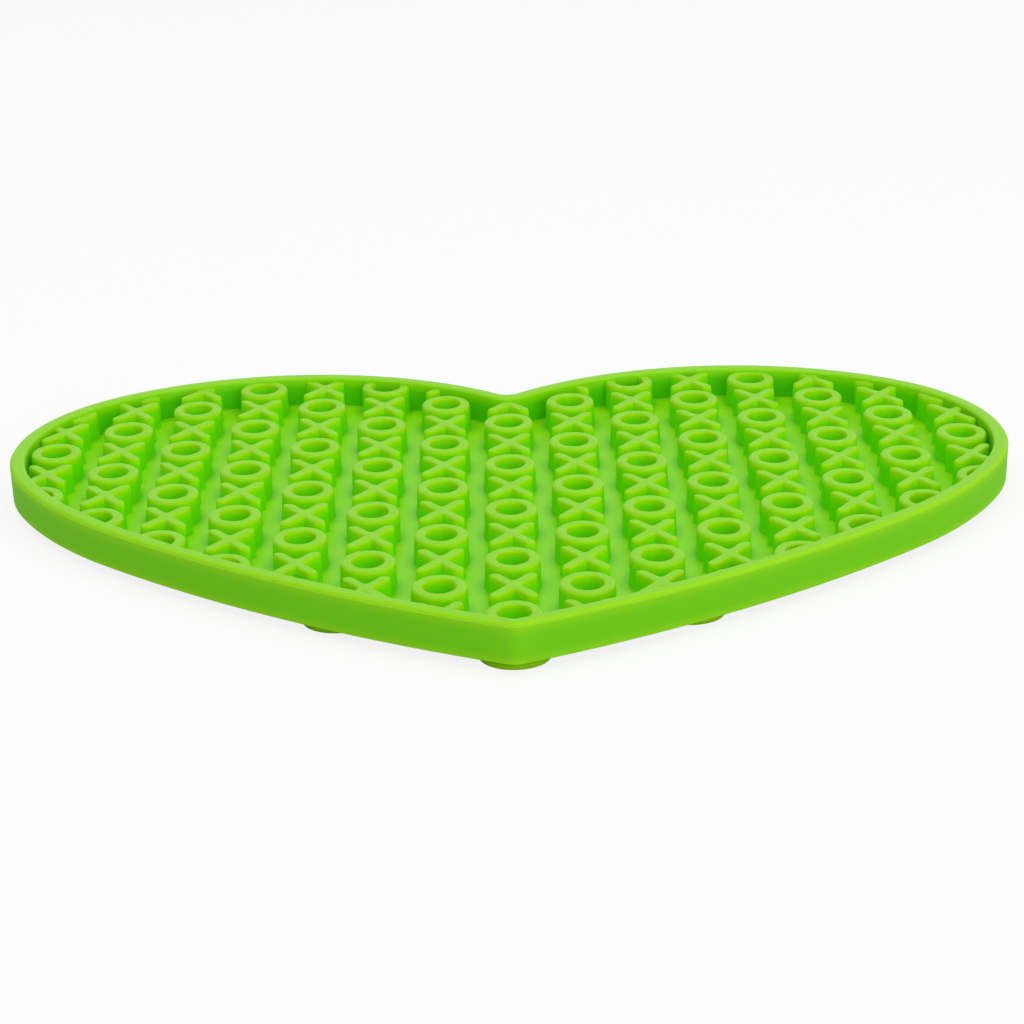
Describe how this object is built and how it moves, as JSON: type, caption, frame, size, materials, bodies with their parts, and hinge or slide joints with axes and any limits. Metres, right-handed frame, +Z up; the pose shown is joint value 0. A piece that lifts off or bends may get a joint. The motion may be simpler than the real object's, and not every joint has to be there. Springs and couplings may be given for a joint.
{
  "type": "lick mat",
  "caption": "Heart-shaped silicone lick mat: a low rimmed tray with a checkerboard of upright ring and cross ribs that hold spread food, standing on suction cups.",
  "frame": {"origin": "bottom centre of the whole mat's box, on the plane that the suction cups stand on", "axes": "+X across the lobes to the right, +Y from the heart's tip towards the notch, +Z up"},
  "size_m": [0.1992, 0.1451, 0.0095],
  "materials": {
    "mat": "satin lime green silicone",
    "cup": "satin lime green silicone"
  },
  "bodies": {
    "root": {"mat": "mat", "cup_tip": "cup", "cup_front_left": "cup", "cup_front_right": "cup", "cup_centre_left": "cup", "cup_centre_right": "cup", "cup_side_left": "cup", "cup_side_right": "cup", "cup_top_left": "cup", "cup_top_right": "cup", "cup_notch": "cup"}
  },
  "joints": []
}
